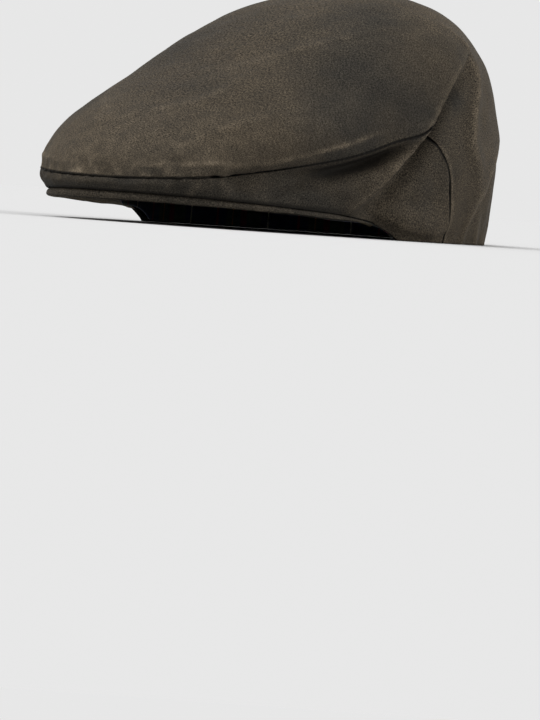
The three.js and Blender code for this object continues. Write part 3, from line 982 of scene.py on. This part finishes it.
def sweatband():
    """The band as a tube of cloth, up its outer side and down its inner side."""
    rows = [(up, 0.0) for up in np.linspace(0.015, 0.985, 14)]
    rows += [(0.997, 0.2), (1.0, 0.5), (0.997, 0.8)]
    rows += [(up, 1.0) for up in np.linspace(0.985, 0.015, 26)]
    rows += [(0.003, 0.8), (0.0, 0.5), (0.003, 0.2), (0.015, 0.0)]
    angles = np.linspace(0, 2 * math.pi, BAND_COLUMNS + 1)
    angle, up = np.meshgrid(angles, np.array([row[0] for row in rows]))
    _, inward = np.meshgrid(angles, np.array([row[1] for row in rows]))
    inset = BAND_INSET + BAND_THICKNESS * inward.ravel()
    points = band_points(angle.ravel(), up.ravel(), inset)
    inner = inward.ravel() > 0.5
    waves = 0.5 * ripple(points * [1, 1, 0.25], 17, 31) + 0.3 * ripple(points * [1, 1, 0.4], 6, 32)
    inwards = -outward_at(points) * [1, 1, 0]
    points += inwards * (np.where(inner, 0.5 + waves, 0.0) * np.sin(math.pi * up.ravel()))[:, None]
    cloth = np.stack([angle * RIM_MEAN_RADIUS, up * BAND_HEIGHT], -1)
    shape = angle.shape + (3,)
    return sew("sweatband_cloth", points.reshape(shape), cloth, no_hem, {"rubbed": np.zeros(angle.size)})


def no_hem(edge):
    """No turning: the band is closed all round, and the lining's edge lies behind it."""
    return []


tartan = tartan_cotton("brushed_tartan_cotton")
sweatband_cloth = sweatband()
sweatband_cloth.data.materials.append(tartan)
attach(sweatband_cloth, "root")
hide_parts("sweatband")


# The lining.
# A loose dome of the same tartan cotton inside the crown. Its lower edge is gathered into the seam behind
# the sweatband's upper edge.

LINING_SECTIONS = (
    # angle on the rim, spine y, spine z, full
    (54, -86, 62, 2.2),
    (68, -64, 71, 2.2),
    (82, -28, 89, 2.3),
    (97, 14, 103, 2.4),
    (112, 54, 99, 2.3),
    (125, 79, 80, 2.2),
    (136, 90, 54, 2.1),
)
# How far the dome's edge lies inside the rim and above it, and the angles at which its front edge ends and
# its back edge starts.
LINING_INSET = 3.9
LINING_EDGE_HEIGHT = 27.7
LINING_FRONT = 40
LINING_BACK = 145

# The flat dome's half width and length, and the columns and rows of its grid.
LINING_HALF_WIDTH = 150
LINING_LENGTH = 290
LINING_COLUMNS = 200
LINING_ROWS = 180


def lining():
    """The dome in one piece, slack over the head and gathered at its edge."""
    u, v = np.meshgrid(np.linspace(-1, 1, LINING_COLUMNS + 1), np.linspace(0, 1, LINING_ROWS + 1))
    cloth = np.stack([u * LINING_HALF_WIDTH, v * LINING_LENGTH], -1)
    shape = u.shape + (3,)
    u, v = u.ravel(), v.ravel()
    lift = np.array([0, 0, LINING_EDGE_HEIGHT])
    rows = [rim_points(np.radians(u * LINING_FRONT), LINING_INSET) + lift]
    for angle, spine_y, spine_z, full in LINING_SECTIONS:
        end = rim_points(math.radians(angle), LINING_INSET) + lift
        rows.append(arc_points(u, spine_y, spine_z, end, full))
    rows.append(rim_points(np.radians(180 - u * (180 - LINING_BACK)), LINING_INSET) + lift)
    points = smooth_through(np.array(rows), v)
    edge = np.minimum(1 - np.abs(u), np.minimum(v, 1 - v) * 2)
    gathers = 0.9 * (1 - rise(edge, 0.02, 0.3)) * ripple(points * [1, 1, 0.2], 6, 41) * rise(edge, 0, 0.03)
    slack = 1.6 + 1.6 * ripple(points, 30, 42) + 0.6 * ripple(points, 12, 43)
    points -= outward_at(points) * (gathers + slack * rise(edge, 0, 0.2))[:, None]
    return sew("lining_cloth", points.reshape(shape), cloth, no_hem, {"rubbed": np.zeros(len(u))})


lining_cloth = lining()
lining_cloth.data.materials.append(tartan)
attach(lining_cloth, "root")
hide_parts("lining")


# The stage.
# A wide round floor in matt pale grey, under a white sky of even light. One wide diffused light comes from
# above the front, and a weaker one from behind the wearer's left.

bpy.ops.object.select_all(action="DESELECT")
bpy.ops.mesh.primitive_circle_add(vertices=128, radius=30, fill_type="NGON", location=(0, 0, 0))
floor = bpy.context.object
floor.name = "pale_floor"
paint = bpy.data.materials.new("matt_pale_paint")
paint.use_nodes = True
paint_shader = paint.node_tree.nodes["Principled BSDF"]
paint_shader.inputs["Base Color"].default_value = linear("#bcbcbc")
paint_shader.inputs["Roughness"].default_value = 0.9
paint_shader.inputs["Specular IOR Level"].default_value = 0.0
floor.data.materials.append(paint)

world = bpy.data.worlds.new("white_sky")
world.use_nodes = True
world.node_tree.nodes["Background"].inputs["Color"].default_value = (1.0, 1.0, 1.0, 1.0)
world.node_tree.nodes["Background"].inputs["Strength"].default_value = 0.8
bpy.context.scene.world = world


def diffused_light(name, strength, width, place):
    """A wide diffused light from far off, from the direction of a place, as wide as an angle in degrees."""
    lamp = bpy.data.lights.new(name, "SUN")
    lamp.angle = math.radians(width)
    lamp.energy = strength
    light = bpy.data.objects.new(name, lamp)
    light.rotation_euler = Vector(place).to_track_quat("Z", "Y").to_euler()
    bpy.context.scene.collection.objects.link(light)


diffused_light("light_overhead", 2.24, 50, (-0.2, -0.5, 1.2))
diffused_light("light_behind", 1.35, 30, (1.0, 0.9, 0.5))


# The camera.
# It stands where the photo's did, round to the wearer's left of the peak, but level with the cap instead of
# below the table. A long lens 1.8 m away, with the cap near the top of the frame.

# Its angles and distance, the scale at the cap, the point that it is aimed by, how many pixels right of and
# above the middle of the frame that point lies, and the frame's long side in pixels.
CAMERA_AZIMUTH = math.radians(39.615)
CAMERA_ELEVATION = math.radians(-1.0)
CAMERA_ROLL = math.radians(4.036)
CAMERA_DISTANCE = 1.8
PIXELS_PER_METRE = 2054.8
CAMERA_TARGET = Vector((-0.00061, 0.022735, 0.045))
TARGET_RIGHT = 34.6
TARGET_UP = 219.9
LONG_SIDE = 720

back = Vector((
    math.sin(CAMERA_AZIMUTH) * math.cos(CAMERA_ELEVATION),
    -math.cos(CAMERA_AZIMUTH) * math.cos(CAMERA_ELEVATION),
    math.sin(CAMERA_ELEVATION),
))
lens = bpy.data.cameras.new("long_lens")
focal = PIXELS_PER_METRE * CAMERA_DISTANCE
lens.lens = focal / LONG_SIDE * lens.sensor_width
lens.clip_end = 50
camera = bpy.data.objects.new("camera", lens)
camera.location = CAMERA_TARGET + back * CAMERA_DISTANCE
facing = (-back).to_track_quat("-Z", "Y")
aim = Euler((-math.atan(TARGET_UP / focal), math.atan(TARGET_RIGHT / focal), 0)).to_quaternion()
roll = Euler((0, 0, CAMERA_ROLL)).to_quaternion()
camera.rotation_mode = "QUATERNION"
camera.rotation_quaternion = facing @ roll @ aim
bpy.context.scene.collection.objects.link(camera)
bpy.context.scene.camera = camera
bpy.context.scene.view_settings.view_transform = "Standard"
